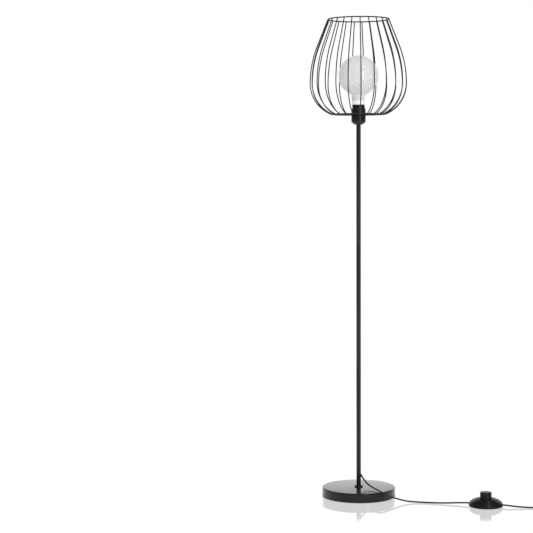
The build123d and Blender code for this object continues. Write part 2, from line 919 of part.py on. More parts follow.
def pole_to_switch():
    """The route from the bush, over the base's rim and along the floor into the switch."""
    spot, way = exit_place()
    half = switch_diameter / 2
    entry = switch_points(-half - switch_run)
    return [
        spot + way * bush_outside,
        spot + way * exit_run,
        Vector(27, -24, 43.5),
        Vector(46.5, -56, 36.8),
        Vector(58.5, -78, 35.4),
        Vector(68, -97, 33.6),
        Vector(84, -107.5, 26),
        Vector(105, -108.5, 18.5),
        Vector(127, -102, 11.1),
        Vector(150, -99, 5),
        Vector(183, -98.5, 2.6),
        Vector(222, -106, 2.6),
        Vector(262, -113.5, 3.4),
        Vector(entry.X, entry.Y, 5.8),
        switch_points(-half),
        switch_points(-block_length / 2 - seat_gap) + Vector(0, 0, cord_rise),
    ]


def switch_to_coil():
    """The route from the switch along the floor to the coil."""
    half = switch_diameter / 2
    leave = switch_points(half + switch_run)
    end = coil_path()[0] @ 0
    return [
        switch_points(block_length / 2 + seat_gap) + Vector(0, 0, cord_rise),
        switch_points(half),
        Vector(leave.X, leave.Y, 5.4),
        Vector(500, -164, 3.2),
        Vector(538, -167.8, 2.6),
        Vector(566, -170.2, 3.1),
        end - Vector(17, 0, 0),
        end,
    ]


def coil_to_plug():
    """The short tail from the coil down to the plug's strain relief."""
    start = coil_path()[-1] @ 1
    axis = plug_thickness / 2
    return [
        start,
        start + Vector(0, 15, 0),
        Vector(start.X + 1.2, start.Y + 36, axis),
        Vector(start.X + 1.2, start.Y + 50, axis),
    ]


# ---- Plug, drawn with its pins along +Y and its axis at the origin

plug_place = Pos(*coil_to_plug()[-1])


def plug_relief():
    """The tapered strain relief moulded round the cord."""
    taper = Cone(relief_tip_diameter / 2, relief_root_diameter / 2, relief_length)
    return Pos(0, relief_length / 2, 0) * Rot(-90, 0, 0) * taper


def plug_body():
    """The flat plug: narrow at the cord, widest in the middle, with a nose that holds the pins."""
    start = relief_length + seat_gap
    end = start + plug_length
    outline = make_face(Polyline(
        (-plug_tail_width / 2, start),
        (-plug_width / 2, start + plug_waist),
        (-plug_width / 2, end - plug_shoulder),
        (-plug_nose_width / 2, end),
        (plug_nose_width / 2, end),
        (plug_width / 2, end - plug_shoulder),
        (plug_width / 2, start + plug_waist),
        (plug_tail_width / 2, start),
        close=True,
    ))
    body = extrude(Pos(0, 0, -plug_thickness / 2) * outline, plug_thickness)
    return chamfer(body.faces().filter_by(Axis.Z).edges(), plug_round)


def plug_pins():
    """The two round pins."""
    start = relief_length + seat_gap + plug_length + seat_gap
    pin = Cylinder(pin_diameter / 2, pin_length, align=(Align.CENTER, Align.CENTER, Align.MIN))
    return [Pos(side * pin_spacing / 2, start, 0) * Rot(-90, 0, 0) * pin for side in (-1, 1)]


# ---- Write every piece


def save(name, piece):
    """Write one piece, or a group of like pieces, as parts/NAME.step."""
    if isinstance(piece, list):
        piece = Compound(children=piece)
    export_step(piece, f"parts/{name}.step")


os.makedirs("parts", exist_ok=True)

save("base_cover", base_cover())
save("base_weight", base_weight())
save("base_pad", base_pad())
save("base_washer", base_washer())
save("base_nut", base_nut())
save("base_nipple", base_nipple())
save("pole_collar", pole_collar())
for index, section in enumerate(("lower", "middle", "upper")):
    save(f"pole_{section}", pole_section(index))
save("pole_inserts", pole_inserts())
save("pole_nipples", pole_nipples())
save("top_nipple", top_nipple())
save("cord_bush", cord_bush())
save("inner_lead", inner_lead())

save("lampholder_cap", lampholder_cap())
save("lampholder_grip_screw", cord_grip())
save("lampholder_skirt", lampholder_skirt())
save("lampholder_core", lampholder_core())
save("lampholder_shell", lampholder_shell())
save("lampholder_contact", lampholder_contact())
save("lampholder_terminals", lampholder_terminals())
save("shade_retaining_ring", shade_retaining_ring())

save("shade_bottom_ring", wire_ring(bottom_ring_radius, ring_level))
save("shade_top_ring", wire_ring(top_ring_radius, ring_level + cage_height))
save("shade_fitter", shade_fitter())
save("shade_spokes", shade_spokes())
for index, first in enumerate(range(0, len(rib_azimuths), ribs_per_node)):
    save(f"shade_ribs_{index + 1}", shade_ribs(first))

save("bulb_globe", bulb_globe())
save("bulb_collar", bulb_collar())
save("bulb_cap", bulb_cap())
save("bulb_insulator", bulb_insulator())
save("bulb_tip", bulb_tip())
save("bulb_board", bulb_board())
save("bulb_driver", bulb_driver())

save("switch_cover", switch_place * switch_cover())
save("switch_base", switch_place * switch_base())
save("switch_screws", [switch_place * screw for screw in switch_screws()])
save("switch_feet", [switch_place * foot for foot in switch_feet()])
save("switch_block", switch_place * switch_block())
save("switch_button", switch_place * switch_button())
save("switch_spring", switch_place * switch_spring())

coil_edges = coil_path()
coil = round_bar(Wire(coil_edges), cord_radius)
coil_length = sum(edge.length for edge in coil_edges)
print("cord_coil length", round(coil_length, 1), "turns", coil_turns)
coil_volume = math.pi * cord_radius**2 * coil_length
print("cord_coil volume", round(coil.volume, 1), "section times length", round(coil_volume, 1))
print("cord_coil least gap", round(least_gap(coil_edges), 3))
save("cord_coil", coil)
save("coil_tie", coil_tie())
save("cord_to_switch", free_cord("cord_to_switch", pole_to_switch()))
save("cord_to_coil", free_cord("cord_to_coil", switch_to_coil()))
save("cord_to_plug", free_cord("cord_to_plug", coil_to_plug()))
save("plug_relief", plug_place * plug_relief())
save("plug_body", plug_place * plug_body())
save("plug_pins", [plug_place * pin for pin in plug_pins()])
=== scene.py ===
import json
import math

import bpy
import numpy as np
from bpy.props import FloatProperty, FloatVectorProperty, IntProperty, PointerProperty
from mathutils import Matrix, Vector


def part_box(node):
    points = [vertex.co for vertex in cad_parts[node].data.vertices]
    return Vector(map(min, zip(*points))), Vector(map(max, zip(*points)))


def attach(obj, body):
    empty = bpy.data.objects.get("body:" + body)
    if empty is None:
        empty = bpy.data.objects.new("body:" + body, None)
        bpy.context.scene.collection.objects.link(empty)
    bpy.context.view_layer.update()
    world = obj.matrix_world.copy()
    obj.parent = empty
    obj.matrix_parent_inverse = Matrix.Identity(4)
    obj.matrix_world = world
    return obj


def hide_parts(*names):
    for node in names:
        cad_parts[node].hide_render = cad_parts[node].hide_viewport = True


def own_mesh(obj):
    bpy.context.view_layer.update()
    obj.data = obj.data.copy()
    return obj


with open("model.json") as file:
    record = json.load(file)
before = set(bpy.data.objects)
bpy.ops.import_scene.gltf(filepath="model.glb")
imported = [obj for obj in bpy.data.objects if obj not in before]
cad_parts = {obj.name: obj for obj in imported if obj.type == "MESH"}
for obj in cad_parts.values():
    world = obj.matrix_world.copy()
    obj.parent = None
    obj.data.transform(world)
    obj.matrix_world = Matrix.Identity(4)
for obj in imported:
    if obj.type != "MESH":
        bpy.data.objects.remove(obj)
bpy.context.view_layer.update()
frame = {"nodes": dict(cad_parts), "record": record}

bl_info = {
    "name": "Wire cage floor lamp",
    "version": (1, 0, 0),
    "blender": (4, 5, 0),
    "location": "View3D > Sidebar > Floor lamp",
    "description": "A slim black floor lamp with a globe bulb in a wire cage and a foot switch on its cord",
    "category": "Add Mesh",
}

TURN = 2 * math.pi


# ---- Sizes and colours that a user would change


def length(name, description, default):
    """A size in metres."""
    return FloatProperty(name=name, description=description, default=default, unit="LENGTH", precision=5)


def colour(name, description, default):
    """A surface colour."""
    return FloatVectorProperty(name=name, description=description, default=default, subtype="COLOR", size=3)


class LampSizes(bpy.types.PropertyGroup):
    """Fine sizes of the finished pieces, on top of those of the frame."""
    rim_round: length("Base rim", "Rounding of the base's upper rim", 0.003)
    edge_round: length("Small edges", "Rounding of the small edges of turned pieces", 0.0004)
    rib_wire: length("Rib wire", "Diameter of the cage's ribs and spokes", 0.0033)
    ring_wire: length("Ring wire", "Diameter of the cage's two rings", 0.0038)
    weld_bead: length("Weld bead", "Radius of the bead where a rib meets a ring", 0.0021)
    cord_diameter: length("Cord", "Diameter of the cord's sheath", 0.005)
    thread_pitch: length("Screw pitch", "Pitch of the bulb's screw cap", 0.0036)
    thread_depth: length("Screw depth", "Depth of the bulb's screw thread", 0.0008)
    grip_depth: length("Grip depth", "Depth of the flutes round the retaining ring", 0.0003)
    grip_count: IntProperty(name="Grip flutes", description="Flutes round the retaining ring", default=40)
    relief_grooves: IntProperty(name="Relief grooves", description="Grooves along the plug's strain relief",
                                default=7)


class LampColours(bpy.types.PropertyGroup):
    """Base colours of the lamp's finishes and of the stage."""
    coat: colour("Powder coat", "Satin coat of the base, the pole and the cage", (0.008, 0.008, 0.0085))
    moulded: colour("Moulded black", "Shells of the lampholder, the switch and the plug",
                    (0.008, 0.008, 0.0085))
    sheath: colour("Cord sheath", "Sheath of the cord", (0.009, 0.009, 0.009))
    opal: colour("Opal glass", "Glass of the globe", (0.7, 0.7, 0.7))
    floor: colour("Floor", "Colour of the studio floor", (0.85, 0.85, 0.85))


def sizes():
    """The scene's fine sizes."""
    return bpy.context.scene.lamp_sizes


def colours():
    """The scene's base colours."""
    return bpy.context.scene.lamp_colours


# ---- Surfaces


def skin(name, rings, closed=False, sharp=40.0):
    """A skin over a stack of rings, an array of (ring, side, xyz) with the sides in turn.

    Ring i is joined to ring i + 1 by one four-sided face for each side. A ring drawn in to a point becomes
    one shared point with three-sided faces. closed joins the last ring to the first.
    """
    rings = np.asarray(rings, float)
    count, sides = rings.shape[:2]
    pole = np.ptp(rings, axis=1).max(axis=1) < 1e-8
    starts = np.concatenate([[0], np.cumsum(np.where(pole, 1, sides))[:-1]])
    index = starts[:, None] + np.where(pole[:, None], 0, np.arange(sides)[None, :])
    low, high = (index, np.roll(index, -1, axis=0)) if closed else (index[:-1], index[1:])
    quads = np.stack([low, np.roll(low, -1, 1), np.roll(high, -1, 1), high], axis=-1).reshape(-1, 4)
    low_pole = quads[:, 0] == quads[:, 1]
    high_pole = quads[:, 2] == quads[:, 3]
    faces = quads[~low_pole & ~high_pole].tolist()
    faces += quads[low_pole & ~high_pole][:, [0, 2, 3]].tolist()
    faces += quads[high_pole & ~low_pole][:, :3].tolist()
    points = rings[~pole[:, None] | (np.arange(sides) == 0)[None, :]]
    mesh = bpy.data.meshes.new(name)
    mesh.from_pydata(points.tolist(), [], faces)
    mesh.polygons.foreach_set("use_smooth", np.ones(len(faces), bool))
    mesh.set_sharp_from_angle(angle=math.radians(sharp))
    mesh.update()
    piece = bpy.data.objects.new(name, mesh)
    bpy.context.scene.collection.objects.link(piece)
    return piece


def rounded(corners, steps=4):
    """An outline of (radius, height, rounding) corners with each corner drawn as an arc.

    The arc of rounding q at a corner with half angle h starts q / tan h before the corner and bends about
    the point that lies q / sin h along the corner's bisector.
    """
    outline = []
    for before, corner, after in zip(corners[-1:] + corners[:-1], corners, corners[1:] + corners[:1]):
        place = np.array(corner[:2], float)
        back, ahead = np.array(before[:2]) - place, np.array(after[:2]) - place
        room = 0.45 * min(np.linalg.norm(back), np.linalg.norm(ahead))
        back, ahead = back / np.linalg.norm(back), ahead / np.linalg.norm(ahead)
        half = math.acos(np.clip(back @ ahead, -1, 1)) / 2
        if corner[2] <= 0 or half > 1.5:
            outline.append(place)
            continue
        rounding = min(corner[2], room * math.tan(half))
        middle = (back + ahead) / np.linalg.norm(back + ahead)
        centre = place + middle * rounding / math.sin(half)
        first = place + back * rounding / math.tan(half) - centre
        last = place + ahead * rounding / math.tan(half) - centre
        bend = math.pi - 2 * half
        share = np.linspace(0, 1, steps + 1)[:, None]
        arc = (np.sin((1 - share) * bend) * first + np.sin(share * bend) * last) / math.sin(bend)
        outline.extend(centre + arc)
    return np.array(outline)


def lathe(name, outline, sides=96, closed=True, place=None, ripple=None):
    """A turned piece: the outline's point (r, z) goes round as (r cos t, r sin t, z).

    ripple(r, z, t) gives the radius instead of r, for threads and flutes. place is a matrix that lays the
    turned piece along another axis.
    """
    outline = np.asarray(outline, float)
    turn = np.linspace(0, TURN, sides, endpoint=False)[None, :]
    radius = outline[:, :1] + 0 * turn
    height = outline[:, 1:2] + 0 * turn
    if ripple is not None:
        radius = ripple(radius, height, turn + 0 * radius)
    rings = np.stack([radius * np.cos(turn), radius * np.sin(turn), height], axis=-1)
    if place is not None:
        matrix = np.array(place)
        rings = rings @ matrix[:3, :3].T + matrix[:3, 3]
    return skin(name, rings, closed)


def bar_rings(path, radius, up, sides=14, cap=0.6):
    """The rings of a round bar along a path.

    Round the path's point p, with t its direction, b = t x up and n = b x t, the ring is
    p + r (n cos u + b sin u). The ends are drawn in over cap times the radius as a quarter ellipse.
    """
    path = np.asarray(path, float)
    along = np.gradient(path, axis=0)
    along /= np.linalg.norm(along, axis=1, keepdims=True)
    bow = np.linspace(0, math.pi / 2, 5)[1:]
    back = path[0] - along[0] * (cap * radius * np.sin(bow))[::-1, None]
    ahead = path[-1] + along[-1] * (cap * radius * np.sin(bow))[:, None]
    scale = np.concatenate([np.cos(bow)[::-1], np.ones(len(path)), np.cos(bow)])
    scale[[0, -1]] = 0
    path = np.concatenate([back, path, ahead])
    along = np.concatenate([np.repeat(along[:1], 4, 0), along, np.repeat(along[-1:], 4, 0)])
    across = np.cross(up, along)
    across /= np.linalg.norm(across, axis=1, keepdims=True)
    third = np.cross(along, across)
    turn = np.linspace(0, TURN, sides, endpoint=False)
    circle = across[:, None] * np.cos(turn)[None, :, None] + third[:, None] * np.sin(turn)[None, :, None]
    return path[:, None] + circle * (radius * scale)[:, None, None]


def ring_rings(radius, wire, height, sides=14, around=288):
    """The rings of a closed wire ring.

    The torus point is ((R + r cos u) cos t, (R + r cos u) sin t, z + r sin u).
    """
    turn = np.linspace(0, TURN, around, endpoint=False)[:, None]
    lap = np.linspace(0, TURN, sides, endpoint=False)[None, ::-1]
    out = radius + wire * np.cos(lap)
    up = height + wire * np.sin(lap) + 0 * turn
    return np.stack([out * np.cos(turn), out * np.sin(turn), up], axis=-1)


def join(name, pieces):
    """Make several skins one piece, by putting their points and faces one after another."""
    points, faces, start = [], [], 0
    for piece in pieces:
        mesh = piece.data
        points += [vertex.co[:] for vertex in mesh.vertices]
        faces += [[start + corner for corner in face.vertices] for face in mesh.polygons]
        start = len(points)
        bpy.data.objects.remove(piece)
        bpy.data.meshes.remove(mesh)
    mesh = bpy.data.meshes.new(name)
    mesh.from_pydata(points, [], faces)
    mesh.polygons.foreach_set("use_smooth", np.ones(len(faces), bool))
    mesh.set_sharp_from_angle(angle=math.radians(40))
    piece = bpy.data.objects.new(name, mesh)
    bpy.context.scene.collection.objects.link(piece)
    return piece


def bead(name, place, radius):
    """A weld bead: a ball of stacked rings about a point."""
    tilt = np.linspace(-math.pi / 2, math.pi / 2, 7)[:, None]
    turn = np.linspace(0, TURN, 10, endpoint=False)[None, :]
    wide = np.cos(tilt)
    wide[[0, -1]] = 0
    rings = np.stack([wide * np.cos(turn), wide * np.sin(turn), np.sin(tilt) + 0 * turn], axis=-1)
    return skin(name, np.asarray(place) + radius * rings)


def along_line(start, direction):
    """The matrix that lays a piece turned about Z along a line."""
    turn = Vector(direction).to_track_quat("Z", "X").to_matrix().to_4x4()
    return Matrix.Translation(Vector(start)) @ turn


# ---- Finishes


def add_node(tree, kind, inputs=None, **settings):
    """Add a shader node: settings are its own, and each input is a value or another node's output."""
    node = tree.nodes.new("ShaderNode" + kind)
    for name, value in settings.items():
        setattr(node, name, value)
    for socket, value in (inputs or {}).items():
        if isinstance(value, bpy.types.NodeSocket):
            tree.links.new(value, node.inputs[socket])
        else:
            node.inputs[socket].default_value = value
    return node


def finish(name, base, rough, metal=0.0, grain=0.0, grain_size=0.001, mottle=0.15, coat=0.0, specular=0.5,
           **more):
    """A procedural finish: a base colour and a roughness mottled by clouds, and a grain as a bump."""
    material = bpy.data.materials.new(name)
    material.use_nodes = True
    tree = material.node_tree
    shader = tree.nodes["Principled BSDF"]
    shader.inputs["Metallic"].default_value = metal
    shader.inputs["Specular IOR Level"].default_value = specular
    shader.inputs["Coat Weight"].default_value = coat
    shader.inputs["Coat Roughness"].default_value = 0.08
    for socket, value in more.items():
        shader.inputs[socket.replace("_", " ")].default_value = value
    place = add_node(tree, "TexCoord").outputs["Object"]

    def cloud(scale, detail):
        """A cloud over the piece's own place, with about scale blots in a metre."""
        return add_node(tree, "TexNoise", {"Vector": place, "Scale": scale, "Detail": detail}).outputs["Fac"]

    darker, lighter = [(*[min(1, c * share) for c in base], 1) for share in (1 - mottle, 1 + mottle)]
    tint = add_node(tree, "Mix", {"A": darker, "B": lighter, "Factor": cloud(60, 3)}, data_type="RGBA")
    tree.links.new(tint.outputs["Result"], shader.inputs["Base Color"])
    sheen = add_node(tree, "MapRange", {"From Min": 0.3, "From Max": 0.7, "To Min": rough * 0.9,
                                        "To Max": rough * 1.1, "Value": cloud(220, 4)})
    tree.links.new(sheen.outputs["Result"], shader.inputs["Roughness"])
    if grain:
        bump = add_node(tree, "Bump", {"Strength": grain, "Distance": grain_size * 0.1,
                                       "Height": cloud(1 / grain_size, 2)})
        tree.links.new(bump.outputs["Normal"], shader.inputs["Normal"])
    return material


FINISHES = {}


def make_finishes():
    """One finish for each material slot of the record, and two more for the base and the globe's glass."""
    paint, moulded, sheath, opal = colours().coat, colours().moulded, colours().sheath, colours().opal
    FINISHES.update(
        base_coat=finish("satin base coat", paint, 0.2, grain=0.1, grain_size=0.0012, specular=0.1, coat=1.0,
                         Coat_Roughness=0.2, Coat_IOR=1.3),
        black_metal=finish("black powder coat", paint, 0.34, grain=0.2, grain_size=0.0012, specular=0.4),
        wire=finish("black coated wire", paint, 0.32, grain=0.2, grain_size=0.0008, specular=0.3),
        black_plastic=finish("moulded black plastic", moulded, 0.25, grain=0.12, grain_size=0.0006,
                             specular=0.3),
        switch_plastic=finish("switch plastic", moulded, 0.34, grain=0.15, grain_size=0.0006, specular=0.2),
        cord=finish("cord sheath", sheath, 0.42, grain=0.3, grain_size=0.0012),
        pad=finish("rubber pad", (0.02, 0.02, 0.02), 0.8, grain=0.6, grain_size=0.0015),
        weight=finish("cast cement", (0.4, 0.39, 0.37), 0.9, grain=0.8, grain_size=0.002, mottle=0.3),
        zinc=finish("zinc plated steel", (0.62, 0.63, 0.65), 0.35, metal=1.0, grain=0.1),
        brass=finish("brass", (0.75, 0.58, 0.28), 0.3, metal=1.0, grain=0.05),
        bulb_metal=finish("nickel plated cap", (0.72, 0.71, 0.69), 0.28, metal=1.0, grain=0.05),
        insulator=finish("glazed ceramic", (0.74, 0.73, 0.7), 0.35, coat=0.3),
        white_plastic=finish("white plastic", (0.92, 0.92, 0.91), 0.3, mottle=0.02),
        opal=finish("opal glass", opal, 0.2, mottle=0.01),
        board=finish("circuit board", (0.05, 0.22, 0.1), 0.4, coat=0.3),
    )


def dress(piece, slot, body, *nodes, finish=None):
    """Give a piece the finish of its slot, or the finish named instead, hang it on a body, and hide the
    frame's nodes that it stands for.
    """
    piece.data.materials.append(FINISHES[finish or slot])
    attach(piece, body)
    if nodes:
        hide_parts(*nodes)
    return piece


class LampOperator:
    """What every operator here shares."""
    bl_options = {"REGISTER", "UNDO"}

    def execute(self, context):
        self.make(context.scene.lamp_sizes)
        return {"FINISHED"}


# ---- Frame parts that keep their shape


class LAMP_OT_dress_frame(LampOperator, bpy.types.Operator):
    """Give every part of the frame the finish of its material slot."""
    bl_idname = "floor_lamp.dress_frame"
    bl_label = "Dress the frame"

    def make(self, size):
        make_finishes()
        for part in frame["record"]["subparts"]:
            mesh = frame["nodes"][part["node"]].data
            mesh.materials.clear()
            mesh.materials.append(FINISHES[part["material_slot"]])


# ---- Cords

SWITCH = (0.389, -0.139)
SWITCH_YAW = math.radians(-15)
CORD_AXIS = 0.0076
COIL_START = (0.605, -0.171)
COIL_INNER, COIL_PITCH, COIL_SIDE, COIL_LOW = 0.0206, 0.0062, 2.875, 0.0038
POLE_RADIUS, POLE_WALL = 0.0071, 0.0012
EXIT_HEIGHT, EXIT_DIP = 0.068, math.radians(48)
EXIT_WAY = (math.cos(math.radians(-30)), math.sin(math.radians(-30)))


def on_switch_line(offset, height=CORD_AXIS):
    """A point on the cord's line through the switch, at an offset from its centre."""
    return [SWITCH[0] + math.cos(SWITCH_YAW) * offset, SWITCH[1] + math.sin(SWITCH_YAW) * offset, height]


def from_exit(distance):
    """A point on the cord's line out of the pole, which dips below level."""
    level = POLE_RADIUS + math.cos(EXIT_DIP) * distance
    return [EXIT_WAY[0] * level, EXIT_WAY[1] * level, EXIT_HEIGHT - math.sin(EXIT_DIP) * distance]


def coil_points(a_turn=24):
    """The coil's control points: it spirals in, climbs one layer in a half turn and spirals out.

    At turn t the radius is the least radius plus the pitch for each turn from the middle half turn, and the
    azimuth is 360 t - 90 degrees. A spline whose points stand on a circle runs inside it, so they stand out
    by its share.
    """
    turns = 2 * COIL_SIDE + 0.5
    turn = np.linspace(0, turns, round(turns * a_turn) + 1)
    outer = COIL_INNER + COIL_PITCH * COIL_SIDE
    radius = COIL_INNER + COIL_PITCH * np.maximum(0, abs(turn - turns / 2) - 0.25)
    climb = (1 - np.cos(math.pi * np.clip((turn - COIL_SIDE) / 0.5, 0, 1))) / 2
    angle = TURN * turn - math.pi / 2
    radius = radius / (0.75 + 0.25 * math.cos(TURN / a_turn))
    x = COIL_START[0] + radius * np.cos(angle)
    y = COIL_START[1] + outer + radius * np.sin(angle)
    return np.stack([x, y, COIL_LOW + COIL_PITCH * climb], axis=-1).tolist()


def cord_curve(name, route):
    """A smooth round cord: a spline of order 3 with the route as its control points."""
    curve = bpy.data.curves.new(name, "CURVE")
    curve.dimensions = "3D"
    spline = curve.splines.new("NURBS")
    spline.points.add(len(route) - 1)
    spline.points.foreach_set("co", np.array([[*point, 1] for point in route]).ravel())
    spline.order_u = 3
    spline.use_endpoint_u = True
    spline.resolution_u = 6
    curve.resolution_u = 6
    curve.bevel_depth = sizes().cord_diameter / 2
    curve.bevel_resolution = 4
    curve.use_fill_caps = True
    cord = bpy.data.objects.new(name, curve)
    bpy.context.scene.collection.objects.link(cord)
    return cord


class LAMP_OT_add_cords(LampOperator, bpy.types.Operator):
    """Lay the cord from the pole to the switch, and from there to the coil and the plug."""
    bl_idname = "floor_lamp.add_cords"
    bl_label = "Cords"

    def make(self, size):
        inside_switch, switch_edge, beside_switch = 0.02205, 0.052, 0.082
        first = [
            from_exit(0.005), from_exit(0.018), [0.027, -0.024, 0.0435], [0.0465, -0.056, 0.0368],
            [0.0585, -0.078, 0.0354], [0.068, -0.097, 0.0336], [0.084, -0.1075, 0.026],
            [0.105, -0.1085, 0.0185], [0.127, -0.102, 0.0111], [0.150, -0.099, 0.005],
            [0.183, -0.0985, 0.0026], [0.222, -0.106, 0.0026], [0.262, -0.1135, 0.0034],
            on_switch_line(-beside_switch, 0.0058), on_switch_line(-switch_edge),
            on_switch_line(-inside_switch),
        ]
        coil = coil_points()
        x, y, z = coil[-1]
        plug_x, plug_axis = x + 0.0012, 0.00685
        second = [
            on_switch_line(inside_switch), on_switch_line(switch_edge),
            on_switch_line(beside_switch, 0.0054), [0.5, -0.164, 0.0032], [0.538, -0.1678, 0.0026],
            [0.566, -0.1702, 0.0031], [0.583, COIL_START[1], COIL_LOW], [0.6, COIL_START[1], COIL_LOW],
            *coil, [x, y + 0.005, z], [x, y + 0.02, z], [plug_x, y + 0.041, plug_axis],
            [plug_x, y + 0.055, plug_axis],
        ]
        dress(cord_curve("cord_from_pole", first), "cord", "lamp", "cord_to_switch")
        dress(cord_curve("cord_to_plug_end", second), "cord", "lamp", "cord_to_coil", "cord_coil",
              "cord_to_plug")


# ---- Base and pole


class LAMP_OT_add_base(LampOperator, bpy.types.Operator):
    """Add the pressed base cover and the collar at the pole's foot."""
    bl_idname = "floor_lamp.add_base"
    bl_label = "Base"

    def make(self, size):
        wall, hole, edge, rim = 0.0012, 0.005, size.edge_round, size.rim_round
        low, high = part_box("base_cover")
        radius = high.x
        cover = rounded([
            (hole, high.z - wall, 0), (radius - wall, high.z - wall, rim - wall),
            (radius - wall, low.z, edge), (radius, low.z, edge), (radius, high.z, rim), (hole, high.z, 0),
        ], steps=8)
        dress(lathe("base_shell", cover, sides=224), "black_metal", "lamp", "base_cover", finish="base_coat")
        low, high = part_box("pole_collar")
        collar = rounded([
            (hole, low.z, 0), (high.x, low.z, edge), (high.x, high.z, 0.0012), (POLE_RADIUS, high.z, edge),
            (hole, low.z + 0.002, 0),
        ], steps=6)
        dress(lathe("foot_collar", collar), "black_metal", "lamp", "pole_collar")


class LAMP_OT_add_pole(LampOperator, bpy.types.Operator):
    """Add the pole's three tubes and the bush at the cord's hole."""
    bl_idname = "floor_lamp.add_pole"
    bl_label = "Pole"

    def make(self, size):
        edge = 0.0002
        for part in ("lower", "middle", "upper"):
            low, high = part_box(f"pole_{part}")
            radius, bore = high.x, high.x - POLE_WALL
            tube = rounded([
                (bore, low.z, 0), (radius, low.z, edge), (radius, high.z, edge), (bore, high.z, 0),
            ], steps=3)
            dress(lathe(f"pole_tube_{part}", tube, sides=64), "black_metal", "lamp", f"pole_{part}")
        bore, wall, inner_end, outer_end = 0.00255, 0.0008, -0.004, 0.005
        bush = rounded([
            (bore, inner_end, 0), (bore + wall, inner_end, 0), (bore + wall, 0.0015, 0),
            (bore + 2.2 * wall, 0.002, 0.0005), (bore + 2.0 * wall, 0.0034, 0.0005),
            (bore + wall, outer_end, 0.0003), (bore, outer_end, 0.0002),
        ], steps=3)
        way = Vector(from_exit(1)) - Vector(from_exit(0))
        dress(lathe("cord_grommet", bush, sides=40, place=along_line(from_exit(0), way)), "black_plastic",
              "lamp", "cord_bush")


# ---- Lampholder


def screw_ripple(low, high, pitch, depth, fade=0.002):
    """A round screw thread between two heights, faded out towards both: r + d/2 cos(2 pi z / pitch - t)."""
    def ripple(radius, height, turn):
        inside = np.clip(np.minimum(height - low, high - height) / fade, 0, 1)
        return radius + inside * depth / 2 * np.cos(TURN * height / pitch - turn)
    return ripple


def resampled(outline, step):
    """The outline with more points on its long runs, so that a ripple has something to bend."""
    along = np.concatenate([[0], np.cumsum(np.linalg.norm(np.diff(outline, axis=0), axis=1))])
    more = np.union1d(along, np.arange(0, along[-1], step))
    return np.stack([np.interp(more, along, outline[:, 0]), np.interp(more, along, outline[:, 1])], axis=-1)


def stations(low, high, step):
    """Evenly spaced heights from low to high, at most a step apart."""
    return np.linspace(low, high, int(math.ceil(abs(high - low) / step)) + 1)


class LAMP_OT_add_lampholder(LampOperator, bpy.types.Operator):
    """Add the lampholder's two shells, its screw shell and the retaining ring."""
    bl_idname = "floor_lamp.add_lampholder"
    bl_label = "Lampholder"

    def make(self, size):
        edge = size.edge_round
        low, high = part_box("lampholder_cap")
        radius, bore, neck, rise, hole, core = high.x, high.x - 0.0034, 0.013, 0.008, 0.005, 0.017
        ledge, floor = high.z - 0.012, low.z + 0.011
        cap = rounded([
            (hole, low.z, 0), (neck, low.z, 0.0015), (radius, low.z + rise, 0.003), (radius, high.z, 0.0006),
            (bore, high.z, 0), (bore, ledge, 0), (core, ledge, 0), (core, floor, 0), (hole, floor, 0),
        ], steps=6)
        dress(lathe("holder_cup", cap), "black_plastic", "lamp", "lampholder_cap")
        brim = high.z
        low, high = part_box("lampholder_skirt")
        grip, radius, bore, foot_bore = 0.01895, 0.01975, 0.01815, 0.0182
        skirt = rounded([
            (foot_bore, low.z, 0), (grip, low.z, 0), (grip, brim, 0), (radius, brim, 0),
            (radius, high.z, 0.0008), (bore, high.z, 0.0005), (bore, brim, 0), (0.0174, brim - 0.0016, 0),
        ], steps=5)
        dress(lathe("holder_skirt", skirt), "black_plastic", "lamp", "lampholder_skirt")
        low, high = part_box("lampholder_shell")
        heights = stations(low.z, high.z, 0.0003)
        inside = np.stack([np.full_like(heights, 0.01362), heights], axis=-1)[::-1]
        outside = np.stack([np.full_like(heights, 0.01378), heights], axis=-1)
        ripple = screw_ripple(low.z, high.z, size.thread_pitch, 0.0003)
        shell = lathe("screw_shell", np.concatenate([outside, inside]), ripple=ripple)
        dress(shell, "brass", "lamp", "lampholder_shell")
        low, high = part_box("shade_retaining_ring")
        bore, wide, flange = 0.01983, 0.0217, 0.0014
        ring = rounded([
            (bore, low.z, edge), (high.x, low.z, edge), (high.x, low.z + flange, edge),
            (high.x - flange, low.z + 2 * flange, 0.0006), (wide, high.z, edge), (bore, high.z, edge),
        ], steps=4)
        ring = np.concatenate([resampled(ring[:-4], 0.0008), ring[-4:]])

        def flutes(radius, height, turn):
            """The wall's radius drawn in by d (1 - cos n t) / 2 between its foot and its top edge."""
            above, below = (height - low.z - 0.003) / 0.001, (high.z - height) / 0.001
            on_wall = np.clip(above, 0, 1) * np.clip(below, 0, 1) * (radius > bore + 0.0008)
            return radius - on_wall * size.grip_depth * (1 - np.cos(size.grip_count * turn)) / 2

        dress(lathe("cage_ring_nut", ring, sides=240, ripple=flutes), "black_plastic", "retaining_ring",
              "shade_retaining_ring")


# ---- Cage


